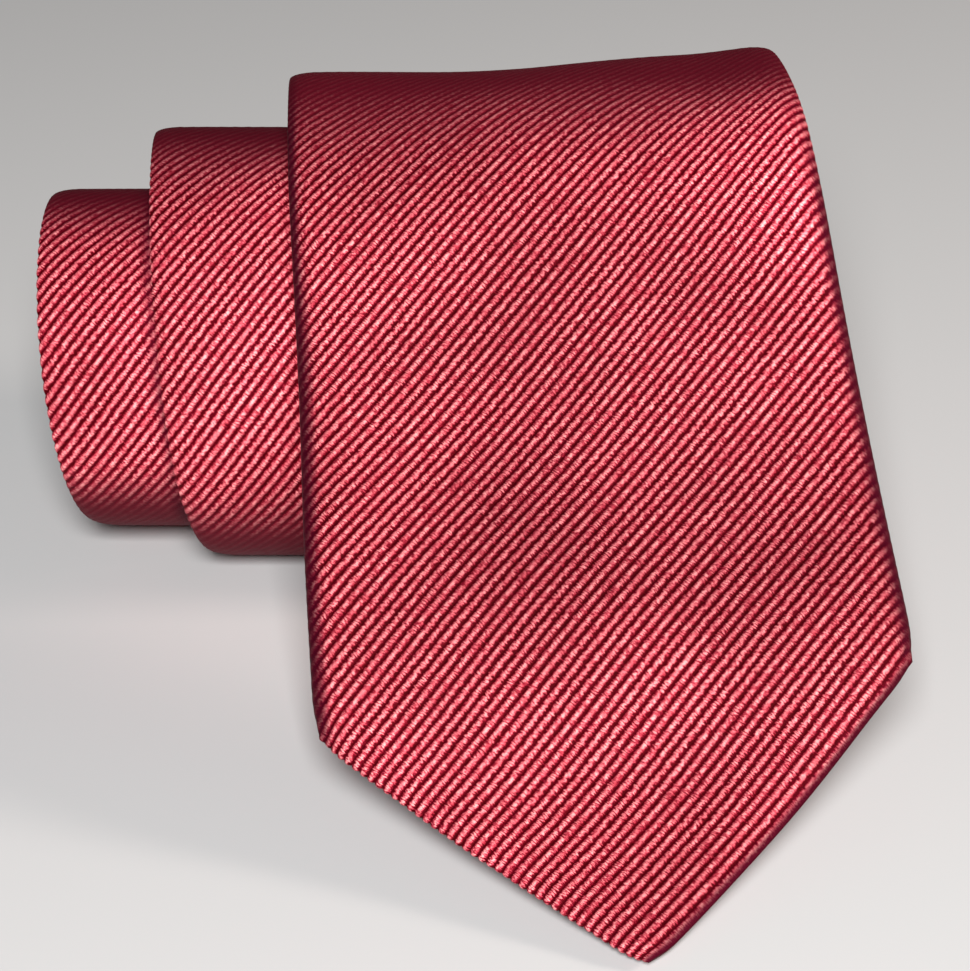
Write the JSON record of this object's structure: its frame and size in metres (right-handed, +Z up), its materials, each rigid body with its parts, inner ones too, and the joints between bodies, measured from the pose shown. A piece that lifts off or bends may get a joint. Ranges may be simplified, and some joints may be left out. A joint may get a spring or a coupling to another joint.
{
  "type": "necktie",
  "caption": "Ribbed silk necktie rolled from its narrow end, its wide pointed blade lying over the roll and down to the table; the free blade lifts.",
  "frame": {"origin": "centre of the flat stretch that the roll stands on", "axes": "+X along the roll's axis, with the inner turns towards -X; +Y away from the blade's point; +Z up"},
  "size_m": [0.1372, 0.173, 0.0783],
  "materials": {
    "silk": "crimson silk with fine diagonal ribs and a soft sheen",
    "lining": "smooth dark red acetate lining",
    "interlining": "napped cream wool blend",
    "thread": "twisted crimson sewing thread",
    "label": "plain woven satin ribbon, blank",
    "care_tag": "plain white nylon tape, blank"
  },
  "bodies": {
    "roll": {"blade_shell_wound": "silk", "neck_shell": "silk", "tail_shell": "silk", "keeper_loop": "silk", "wide_piecing_seam": "silk", "narrow_piecing_seam": "silk", "interlining_wound": "interlining", "tail_tipping": "lining", "slip_stitch": "thread", "thread_loop": "thread", "blade_bar_tack": "thread", "tail_bar_tack": "thread", "label": "label", "care_tag": "care_tag"},
    "blade_end": {"blade_shell_end": "silk", "interlining_end": "interlining", "blade_tipping": "lining"}
  },
  "joints": [
    {"name": "blade_lift", "type": "hinge", "parent": "roll", "child": "blade_end", "pos_m": [0, -0.03874, 0.06634], "axis": [-1, 0, 0], "range_deg": [0, 50]}
  ]
}
